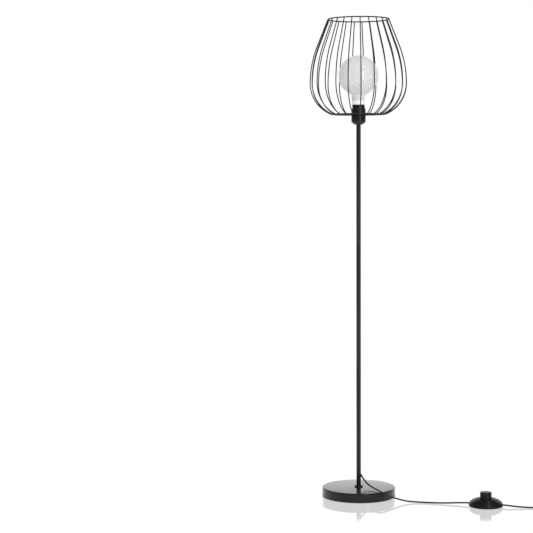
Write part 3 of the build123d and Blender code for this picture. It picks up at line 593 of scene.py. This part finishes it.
def rib_line(ring_level, top_radius, bottom_radius):
    """A rib's centreline as (radius, height): a lower bend, a flatter bend and a straight flank.

    Both bends are circular arcs that are upright at the belly, where they meet.
    """
    belly, belly_rise, rise, flank = 0.1505, 0.0965, 0.2944, 0.088
    overhang = belly - bottom_radius
    low_bend = (belly_rise**2 + overhang**2) / (2 * overhang)
    start = math.atan2(-belly_rise, bottom_radius - belly + low_bend)
    taper, up = belly - top_radius, rise - belly_rise
    high_bend = (taper**2 + up**2 - flank**2) / (2 * taper)
    tangent = math.atan2(up, high_bend - taper) - math.atan2(flank, high_bend)
    low = np.linspace(start, 0, 26)
    high = np.linspace(0, tangent, 22)[1:]
    radius = np.concatenate([low_bend * (np.cos(low) - 1), high_bend * (np.cos(high) - 1)]) + belly
    height = np.concatenate([low_bend * np.sin(low), high_bend * np.sin(high)]) + belly_rise
    share = np.linspace(0, 1, 7)[1:]
    radius = np.concatenate([radius, radius[-1] + share * (top_radius - radius[-1])])
    height = np.concatenate([height, height[-1] + share * (rise - height[-1])])
    return radius, ring_level + height


# Where the ribs stand on the rings, in degrees round from the front: given one by one, so not quite evenly
RIB_AZIMUTHS = (
    2.8, 18.5, 34.0, 48.9, 63.9, 78.7, 96.5, 113.5, 128.2, 143.3, 158.2, 173.3,
    187.7, 203.7, 220.0, 237.2, 254.5, 270.0, 287.7, 302.4, 317.7, 332.8, 347.8,
)
RIBS_A_PIECE = 3


class LAMP_OT_add_cage(LampOperator, bpy.types.Operator):
    """Add the cage: two rings, the washer, its spokes and the bent ribs with their weld beads."""
    bl_idname = "floor_lamp.add_cage"
    bl_label = "Cage"

    def make(self, size):
        ring, rib, bead_radius = size.ring_wire / 2, size.rib_wire / 2, size.weld_bead
        low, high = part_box("shade_bottom_ring")
        level, bottom_radius = (low.z + high.z) / 2, high.x - ring
        dress(skin("cage_bottom_ring", ring_rings(bottom_radius, ring, level), closed=True), "wire", "shade",
              "shade_bottom_ring")
        low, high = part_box("shade_top_ring")
        top_level, top_radius = (low.z + high.z) / 2, high.x - ring
        dress(skin("cage_top_ring", ring_rings(top_radius, ring, top_level), closed=True), "wire", "shade",
              "shade_top_ring")
        radius, height = rib_line(level, top_radius, bottom_radius)
        up = np.array([0, 0, 1.0])
        inset = 0.0008  # of a rib's bead into the corner between rib and ring
        for first in range(0, len(RIB_AZIMUTHS), RIBS_A_PIECE):
            parts = []
            for place in RIB_AZIMUTHS[first:first + RIBS_A_PIECE]:
                azimuth = math.radians(place - 90)
                out = np.array([math.cos(azimuth), math.sin(azimuth), 0])
                side = np.array([-math.sin(azimuth), math.cos(azimuth), 0])
                path = radius[:, None] * out + height[:, None] * up
                parts.append(skin("rib", bar_rings(path, rib, side)))
                parts.append(bead("bead", out * (bottom_radius + inset) + up * level, bead_radius))
                parts.append(bead("bead", out * top_radius + up * (top_level - inset), bead_radius))
            number = first // RIBS_A_PIECE + 1
            dress(join(f"cage_ribs_{number}", parts), "wire", "shade", f"shade_ribs_{number}")
        low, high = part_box("shade_fitter")
        bore, edge = 0.01983, size.edge_round
        washer = rounded([(bore, low.z, edge / 2), (high.x, low.z, 0.75 * edge),
                          (high.x, high.z, 0.75 * edge), (bore, high.z, edge / 2)], steps=3)
        dress(lathe("cage_washer", washer, sides=128), "wire", "shade", "shade_fitter")
        parts = []
        sunk = 0.0006  # of a spoke's ends and beads into the washer and the ring
        for azimuth in np.radians([90, 210, 330]):
            out = np.array([math.cos(azimuth), math.sin(azimuth), 0])
            reach = np.linspace(high.x - sunk, bottom_radius - sunk, 12)[:, None]
            parts.append(skin("spoke", bar_rings(reach * out + up * level, rib, up)))
            parts.append(bead("bead", out * (high.x + sunk) + up * level, bead_radius * 0.9))
            parts.append(bead("bead", out * (bottom_radius - 2 * sunk) + up * level, bead_radius * 0.9))
        dress(join("cage_spokes", parts), "wire", "shade", "shade_spokes")


# ---- Bulb


class LAMP_OT_add_bulb(LampOperator, bpy.types.Operator):
    """Add the opal globe, its white collar and its screw cap with the contact."""
    bl_idname = "floor_lamp.add_bulb"
    bl_label = "Bulb"

    def globe_line(self, globe, neck, blend, centre, low):
        """The glass from the neck up to the crown: a neck line, a hollow arc and the sphere's arc."""
        rise = math.sqrt((globe + blend) ** 2 - (neck + blend) ** 2)
        level = centre - rise
        bend = math.atan2(rise, neck + blend)
        hollow = np.linspace(0, bend, 12)
        radius = neck + blend - blend * np.cos(hollow)
        height = level + blend * np.sin(hollow)
        sphere = np.linspace(-bend, math.pi / 2, 72)[1:]
        radius = np.concatenate([[neck], radius, globe * np.cos(sphere)])
        height = np.concatenate([[low], height, centre + globe * np.sin(sphere)])
        radius[-1] = 0
        return np.stack([radius, height], axis=-1)

    def make(self, size):
        low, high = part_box("bulb_globe")
        globe, wall, neck, blend = high.x, 0.001, 0.0192, 0.014
        outside = self.globe_line(globe, neck, blend, high.z - globe, low.z)
        inside = self.globe_line(globe - wall, neck - wall, blend + wall, high.z - globe, low.z)
        glass = lathe("opal_globe", np.concatenate([outside, inside[::-1]]), sides=160)
        dress(glass, "opal", "bulb", "bulb_globe")
        low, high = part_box("bulb_collar")
        shoulder, radius, bore, spigot, edge = low.z + 0.004, high.x, 0.0106, 0.0119, 0.0003
        collar = rounded([
            (bore, low.z, 0), (spigot, low.z, 0), (spigot, shoulder, 0), (radius - 0.0012, shoulder, 0.0006),
            (radius, shoulder + 0.003, 0.0015), (radius, high.z, edge), (radius - 0.0015, high.z, edge),
            (radius - 0.0015, shoulder + 0.0015, 0), (bore, shoulder + 0.0015, 0),
        ], steps=5)
        dress(lathe("bulb_neck_ring", collar), "white_plastic", "bulb", "bulb_collar")
        low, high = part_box("bulb_cap")
        mean, wall, hole, foot = high.x - size.thread_depth / 2, 0.0004, 0.0085, low.z + 0.0022
        heights = stations(foot, high.z, 0.0003)
        outside = np.stack([np.full_like(heights, mean), heights], axis=-1)
        inside = np.stack([np.full_like(heights, mean - wall), heights], axis=-1)[::-1]
        end = [[hole, low.z + wall], [hole, low.z], [0.0119, low.z + 0.0007]]
        ripple = screw_ripple(foot, high.z - 0.0012, size.thread_pitch, size.thread_depth)
        cap = lathe("bulb_screw_cap", np.concatenate([outside, inside, end]), ripple=ripple)
        dress(cap, "bulb_metal", "bulb", "bulb_cap")
        low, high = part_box("bulb_tip")
        arc = np.linspace(0, math.pi / 2, 7)
        radius, depth = high.x, high.z - low.z
        tip = np.stack([radius * np.sin(arc), high.z - depth * np.cos(arc)], axis=-1)
        tip = np.concatenate([tip, [[radius, high.z], [0, high.z]]])
        dress(lathe("bulb_contact", tip, sides=40, closed=False), "brass", "bulb", "bulb_tip")


# ---- Foot switch


class LAMP_OT_add_switch(LampOperator, bpy.types.Operator):
    """Add the foot switch's stepped dome and its round push button."""
    bl_idname = "floor_lamp.add_switch"
    bl_label = "Foot switch"

    def make(self, size):
        place = Matrix.Translation((*SWITCH, 0)) @ Matrix.Rotation(SWITCH_YAW, 4, "Z")
        self.dome(place)
        self.button(place)
        self.spring()

    def dome(self, place):
        """The stepped housing.

        Step i of n ends at the radius c + (r - c) cos^2(90 i / n), and its height goes with
        sin^1.2(90 i / n).
        """
        low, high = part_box("switch_cover")
        radius, wall, opening = (high.x - low.x) / 2, 0.002, 0.01778
        lip, crown, crown_radius, steps = 0.005, high.z, 0.0205, 6
        edge, tread = 0.0006, 0.0003
        dome = [(radius - wall, low.z, 0), (radius - edge, low.z, 0.0004),
                (radius, low.z + 2 * edge, 0.0005), (radius, lip, edge)]
        for step in range(1, steps + 1):
            turn = math.radians(90 * step / steps)
            out = crown_radius + (radius - crown_radius) * math.cos(turn) ** 2
            up = lip + (crown - lip) * math.sin(turn) ** 1.2
            dome.append((dome[-1][0] - edge, up, edge))
            dome.append((out, up - tread, tread))
        dome[-1] = (opening + 0.0028, crown, 0.0005)
        dome += [
            (opening + 0.001, crown, 0.0004), (opening, crown - 0.0008, 0.0003),
            (opening, crown - wall, 0.0002), (crown_radius, crown - wall, 0), (0.034, 0.0185, 0),
            (0.0455, 0.0105, 0), (radius - wall, lip, 0),
        ]
        dress(lathe("switch_dome", rounded(dome, 4), sides=192, place=place), "switch_plastic", "lamp",
              "switch_cover")

    def button(self, place):
        """The push button: a hollow cylinder with a flange at its foot and a groove round its top."""
        low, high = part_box("switch_button")
        side, flange, wall, edge, groove = 0.0177, 0.0197, 0.002, 0.0003, 0.00035
        button = rounded([
            (side - wall, low.z, 0), (flange, low.z, edge), (flange, low.z + wall, edge),
            (side, low.z + wall, edge), (side, high.z, 0.0016), (side - 0.0042, high.z, edge),
            (side - 0.0046, high.z - groove, 0.0002), (side - 0.0054, high.z - groove, 0.0002),
            (side - 0.0058, high.z, edge), (0, high.z, 0), (0, high.z - wall, 0),
            (side - wall, high.z - wall, 0),
        ], steps=5)
        dress(lathe("push_button", button, place=place), "switch_plastic", "button", "switch_button")

    def spring(self):
        """The return spring under the button, drawn at rest: it does not flatten by the button's travel."""
        low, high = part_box("switch_spring")
        wire, turns, travel = 0.0005, 5, 0.0041
        share = np.linspace(0, 1, 32 * turns + 1)
        angle = TURN * turns * share
        reach = (high.x - low.x) / 2 - wire
        path = np.stack([SWITCH[0] + reach * np.cos(angle), SWITCH[1] + reach * np.sin(angle),
                         low.z + wire + (high.z - low.z - 2 * wire) * share], axis=-1)
        spring = skin("return_spring", bar_rings(path, wire, np.array([0, 0, 1.0]), sides=10))
        dress(spring, "zinc", "lamp", "switch_spring")
        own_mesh(spring)


# ---- Plug and tie


class LAMP_OT_add_plug(LampOperator, bpy.types.Operator):
    """Add the flat plug with its strain relief and pins, and the strap round the coil."""
    bl_idname = "floor_lamp.add_plug"
    bl_label = "Plug and strap"

    def make(self, size):
        self.relief(size)
        self.shell()
        self.pins()
        self.strap()

    def relief(self, size):
        """The grooved strain relief, which widens from the cord to the plug."""
        low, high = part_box("plug_relief")
        centre = (low + high) / 2
        tip, root, depth = 0.0033, 0.005, 0.0006
        heights = np.linspace(0, high.y - low.y, 121)
        share = heights / heights[-1]
        groove = 0.5 - 0.5 * np.cos(TURN * size.relief_grooves * share)
        radius = tip + (root - tip) * share - depth * groove**4 * (share < 0.999)
        outside = np.stack([radius, heights], axis=-1)
        outline = np.concatenate([[[0.0, 0.0]], [[tip - 0.0002, 0.0]], outside, [[0.0, heights[-1]]]])
        outline[2, 1] = 0.0002
        place = along_line((centre.x, low.y, centre.z), (0, 1, 0))
        relief = lathe("plug_strain_relief", outline, sides=40, closed=False, place=place)
        dress(relief, "cord", "lamp", "plug_relief")

    def shell(self):
        """The flat shell: squared-off ovals along the plug, with flat ends."""
        low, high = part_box("plug_body")
        centre = (low + high) / 2
        knots = np.array([  # way along the plug, half width, half thickness
            [0, 0.0066, 0.0054], [0.004, 0.0088, 0.0064], [0.0144, 0.01765, 0.00685],
            [0.0252, 0.01765, 0.00685], [0.032, 0.0145, 0.00685], [0.036, 0.0130, 0.0068],
        ])
        along = np.linspace(0, high.y - low.y, 46)
        half_width = smooth_curve(along, knots[:, 0], knots[:, 1])
        half_thick = smooth_curve(along, knots[:, 0], knots[:, 2])
        turn = np.linspace(0, TURN, 64, endpoint=False)

        def bow(value, power):
            """A number's share of its sign, for a circle squared off: sign(c) |c|^p."""
            return np.sign(value) * abs(value) ** power

        across = half_width[:, None] * bow(np.cos(turn), 0.45)[None, ::-1]
        up = half_thick[:, None] * bow(np.sin(turn), 0.55)[None, ::-1]
        rings = np.stack([centre.x + across, low.y + along[:, None] + 0 * across, centre.z + up], axis=-1)
        middle = np.array([centre.x, 0, centre.z])

        def closing(ring, level):
            """The rings of a flat end, drawn in to the middle."""
            flat = ring * [1, 0, 1] + [0, level, 0]
            return np.stack([middle + (flat - middle) * [share, 1, share] for share in (0.0, 0.5, 0.93)])

        tail, nose = closing(rings[0], low.y), closing(rings[-1], high.y)
        bevel = 0.0006
        rings[0, :, 1] += bevel
        rings[-1, :, 1] -= bevel
        rings = np.concatenate([tail, rings, nose[::-1]])
        dress(skin("plug_shell", rings), "black_plastic", "lamp", "plug_body")

    def pins(self):
        """The two round pins, each with a sleeve at its root and a bare tip."""
        low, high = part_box("plug_pins")
        level, span = (low.z + high.z) / 2, high.y - low.y
        pin, bare, sleeved = 0.002, 0.0019, 0.010
        sleeve = rounded([(0, 0, 0), (pin, 0, 0), (pin, sleeved, 0.0003), (0, sleeved, 0)], 3)
        tip = rounded([(0, sleeved, 0), (bare, sleeved, 0), (bare, span, 0.0014), (0, span, 0)], 6)
        places = [along_line((x, low.y, level), (0, 1, 0)) for x in (low.x + pin, high.x - pin)]
        sleeves = [lathe("sleeve", sleeve, sides=32, place=place) for place in places]
        tips = [lathe("tip", tip, sides=32, place=place) for place in places]
        dress(join("pin_sleeves", sleeves), "black_plastic", "lamp", "plug_pins")
        dress(join("pin_tips", tips), "bulb_metal", "lamp", "plug_pins")

    def strap(self):
        """A thin strap round the coil's turns: a rounded loop with a flat cross-section."""
        angle = math.radians(135)
        outer_turn = COIL_INNER + COIL_PITCH * COIL_SIDE
        near, far, low, high, thick, half = 0.0187, 0.0381, 0.0004, 0.0134, 0.0008, 0.0045

        def loop(inset, corner):
            """The loop's outline, drawn in by an inset."""
            left, right, foot, top = near + inset, far - inset, low + inset, high - inset
            return rounded([(left, foot, corner), (right, foot, corner), (right, top, corner),
                            (left, top, corner)], 6)

        outside, inside = loop(0, 0.002), loop(thick, 0.0012)
        chamfer = half - 0.0003
        outline = np.array([(0, -half), (0.18, -half), (1, -chamfer), (1, chamfer), (0.18, half), (0, half)])
        section = inside[:, None] + (outside - inside)[:, None] * outline[None, :, :1]
        side = outline[None, :, 1] + 0 * section[:, :, 0]
        out, up = section[:, :, 0], section[:, :, 1]
        x = COIL_START[0] + out * math.cos(angle) - side * math.sin(angle)
        y = COIL_START[1] + outer_turn + out * math.sin(angle) + side * math.cos(angle)
        rings = np.stack([x, y, up], axis=-1)[::-1]
        dress(skin("coil_strap", rings, closed=True), "pad", "lamp", "coil_tie")


def smooth_curve(at, knots, values):
    """A smooth line through knots: between two, a cubic with the mean slopes at its ends."""
    slope = np.gradient(values, knots)
    slope[1:-1] = np.where(np.diff(values)[:-1] * np.diff(values)[1:] <= 0, 0, slope[1:-1])
    index = np.clip(np.searchsorted(knots, at, side="right") - 1, 0, len(knots) - 2)
    width = knots[index + 1] - knots[index]
    t = (at - knots[index]) / width
    return ((2 * t**3 - 3 * t**2 + 1) * values[index] + (t**3 - 2 * t**2 + t) * width * slope[index]
            + (3 * t**2 - 2 * t**3) * values[index + 1] + (t**3 - t**2) * width * slope[index + 1])


# ---- Stage

CAMERA_PLACE, CAMERA_LENS = (-0.01007, -5.02748, 1.05426), 108.242
CAMERA_YAW, CAMERA_DIP, CAMERA_ROLL = math.radians(3.1805), math.radians(3.7036), math.radians(-0.239)
FLOOR_REACH = 30.0


class LAMP_OT_add_stage(LampOperator, bpy.types.Operator):
    """Add the camera, the pale floor, the studio lights and the white surround."""
    bl_idname = "floor_lamp.add_stage"
    bl_label = "Stage"

    def make(self, size):
        scene = bpy.context.scene
        scene.view_settings.view_transform = "Standard"
        self.camera(scene)
        self.floor(scene)
        self.surround(scene)
        self.light(scene, "key strip", (1.35, -2.75, 1.1), (0, 0, 0.95), (0.22, 2.6), 26)
        self.light(scene, "top panel", (0.4, -1.6, 3.8), (0.1, 0, 0.6), (3.0, 3.0), 15)

    def camera(self, scene):
        """The camera looks level along Y, then is rolled, tipped down and turned, in that order."""
        data = bpy.data.cameras.new("camera")
        data.lens = CAMERA_LENS
        data.sensor_width = 36
        camera = bpy.data.objects.new("camera", data)
        scene.collection.objects.link(camera)
        turn = Matrix.Rotation(CAMERA_YAW, 4, "Z") @ Matrix.Rotation(math.pi / 2 - CAMERA_DIP, 4, "X")
        roll = Matrix.Rotation(CAMERA_ROLL, 4, "Z")
        camera.matrix_world = Matrix.Translation(CAMERA_PLACE) @ turn @ roll
        scene.camera = camera

    def floor(self, scene):
        """The floor is pale to light, and white to the camera, with the lamp mirrored in it near by."""
        corners = [(x * FLOOR_REACH, y * FLOOR_REACH, 0) for x, y in ((-1, -1), (1, -1), (1, 1), (-1, 1))]
        mesh = bpy.data.meshes.new("studio floor")
        mesh.from_pydata(corners, [], [(0, 1, 2, 3)])
        floor = bpy.data.objects.new("studio_floor", mesh)
        scene.collection.objects.link(floor)
        material = bpy.data.materials.new("glossy white floor")
        material.use_nodes = True
        tree = material.node_tree
        tree.nodes.clear()
        place = add_node(tree, "TexCoord").outputs["Object"]
        depth = add_node(tree, "SeparateXYZ", {0: place}).outputs["Y"]
        oval = add_node(tree, "Mapping", {0: place, "Location": (-0.28, 0, 0), "Scale": (1.1, 1.6, 0)})
        distance = add_node(tree, "VectorMath", {0: oval.outputs[0]}, operation="LENGTH").outputs["Value"]
        share = add_node(tree, "Fresnel", {"IOR": 2.1}).outputs[0]
        for way, nothing, all_of_it in ((depth, -0.395, -0.295), (distance, 1.3, 0.55)):
            fade = add_node(tree, "MapRange", {"From Min": nothing, "From Max": all_of_it, "Value": way},
                            interpolation_type="SMOOTHSTEP")
            share = add_node(tree, "Math", {0: share, 1: fade.outputs[0]}, operation="MULTIPLY").outputs[0]
        pale = add_node(tree, "BsdfDiffuse", {"Color": (*colours().floor, 1)}).outputs[0]
        white = add_node(tree, "Emission", {"Strength": 1.03}).outputs[0]
        mirror = add_node(tree, "BsdfGlossy", {"Roughness": 0.0, "Color": (1, 1, 1, 1)}).outputs[0]

        def mix(factor, first, second):
            """The first shader where factor is 0 and the second where it is 1."""
            return add_node(tree, "MixShader", {0: factor, 1: first, 2: second}).outputs[0]

        seen = mix(share, mix(0.1, white, pale), mirror)
        camera_ray = add_node(tree, "LightPath").outputs["Is Camera Ray"]
        add_node(tree, "OutputMaterial", {"Surface": mix(camera_ray, pale, seen)})
        mesh.materials.append(material)

    def surround(self, scene):
        """The world is white to the camera, through glass and in the floor, whose mirror rays are singular.

        It is dimmer as light, and the lamp's own gloss sees it grow darker towards the viewer.
        """
        world = bpy.data.worlds.new("studio surround")
        world.use_nodes = True
        scene.world = world
        tree = world.node_tree
        tree.nodes.clear()
        way = add_node(tree, "TexCoord").outputs["Generated"]
        depth = add_node(tree, "SeparateXYZ", {0: way}).outputs["Y"]
        gloss = add_node(tree, "MapRange", {"From Min": 0.5, "From Max": 0.95, "To Min": 0.18, "To Max": 1.0,
                                            "Value": depth}).outputs[0]
        path = add_node(tree, "LightPath")
        strength = 0.92
        for ray, value in (("Is Glossy Ray", gloss), ("Is Singular Ray", 1.0), ("Is Transmission Ray", 1.0),
                           ("Is Camera Ray", 1.0)):
            inputs = {"Factor": path.outputs[ray], "A": strength, "B": value}
            strength = add_node(tree, "Mix", inputs, data_type="FLOAT").outputs[0]
        white = add_node(tree, "Background", {"Color": (1, 1, 1, 1), "Strength": strength})
        add_node(tree, "OutputWorld", {"Surface": white.outputs[0]})

    def light(self, scene, name, place, target, area, power):
        """An area light that faces its target and is hidden from the camera."""
        data = bpy.data.lights.new(name, "AREA")
        data.shape = "RECTANGLE"
        data.size, data.size_y = area
        data.energy = power
        lamp = bpy.data.objects.new(name, data)
        scene.collection.objects.link(lamp)
        aim = (Vector(target) - Vector(place)).to_track_quat("-Z", "Y")
        lamp.matrix_world = Matrix.Translation(place) @ aim.to_matrix().to_4x4()
        lamp.visible_camera = False


# This step does nothing: it declares no cords.
class LAMP_OT_declare_cords(LampOperator, bpy.types.Operator):
    bl_idname = "floor_lamp.declare_cords"
    bl_label = "Declare the cords"

    def make(self, size):
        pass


# ---- Panel and main

STEPS = (LAMP_OT_dress_frame, LAMP_OT_add_cords, LAMP_OT_add_base, LAMP_OT_add_pole, LAMP_OT_add_lampholder,
         LAMP_OT_add_cage, LAMP_OT_add_bulb, LAMP_OT_add_switch, LAMP_OT_add_plug, LAMP_OT_declare_cords,
         LAMP_OT_add_stage)


class LAMP_PT_panel(bpy.types.Panel):
    """Lists the lamp's pieces in the sidebar."""
    bl_idname = "LAMP_PT_panel"
    bl_label = "Floor lamp"
    bl_space_type = "VIEW_3D"
    bl_region_type = "UI"
    bl_category = "Floor lamp"

    def draw(self, context):
        for step in STEPS:
            self.layout.operator(step.bl_idname)
        for group in (context.scene.lamp_sizes, context.scene.lamp_colours):
            for name in group.__annotations__:
                self.layout.prop(group, name)


CLASSES = (LampSizes, LampColours, *STEPS, LAMP_PT_panel)


def register():
    for kind in CLASSES:
        bpy.utils.register_class(kind)
    bpy.types.Scene.lamp_sizes = PointerProperty(type=LampSizes)
    bpy.types.Scene.lamp_colours = PointerProperty(type=LampColours)


def unregister():
    del bpy.types.Scene.lamp_colours
    del bpy.types.Scene.lamp_sizes
    for kind in reversed(CLASSES):
        bpy.utils.unregister_class(kind)


def main():
    register()
    for step in STEPS:
        group, name = step.bl_idname.split(".")
        getattr(getattr(bpy.ops, group), name)()


if __name__ == "__main__":
    main()
